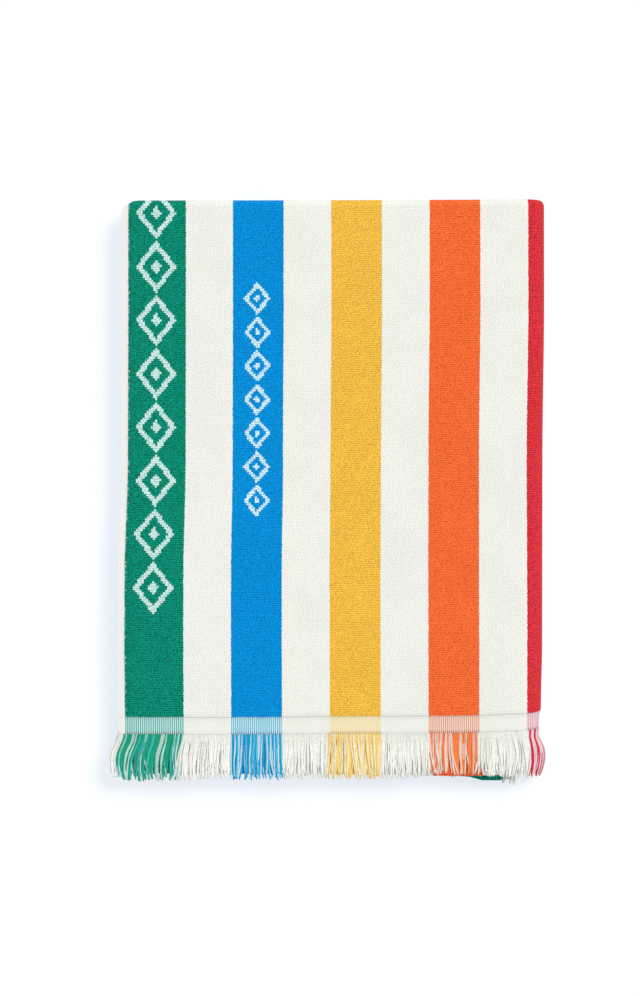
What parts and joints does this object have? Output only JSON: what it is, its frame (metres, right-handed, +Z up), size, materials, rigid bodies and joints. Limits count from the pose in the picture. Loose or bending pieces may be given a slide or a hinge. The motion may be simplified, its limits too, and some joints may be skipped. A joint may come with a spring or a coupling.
{
  "type": "beach towel",
  "caption": "Striped terry beach towel with twisted yarn fringes, folded end to end twice and then in three across its width.",
  "frame": {"origin": "middle of the folded towel's footprint, on the surface that it lies on", "axes": "+X across the folded towel, towards its round side fold; +Y along it, away from the fringes; +Z up, out of the side that shows"},
  "size_m": [0.3135, 0.4191, 0.0293],
  "materials": {
    "terry": "cut and looped cotton pile, matt, in broad coloured stripes on cream",
    "fringe_yarn": "soft twisted cotton yarn, matt, coloured below each stripe and cream between"
  },
  "bodies": {
    "root": {"cloth": "terry", "near_fringe": "fringe_yarn", "far_fringe": "fringe_yarn"}
  },
  "joints": []
}
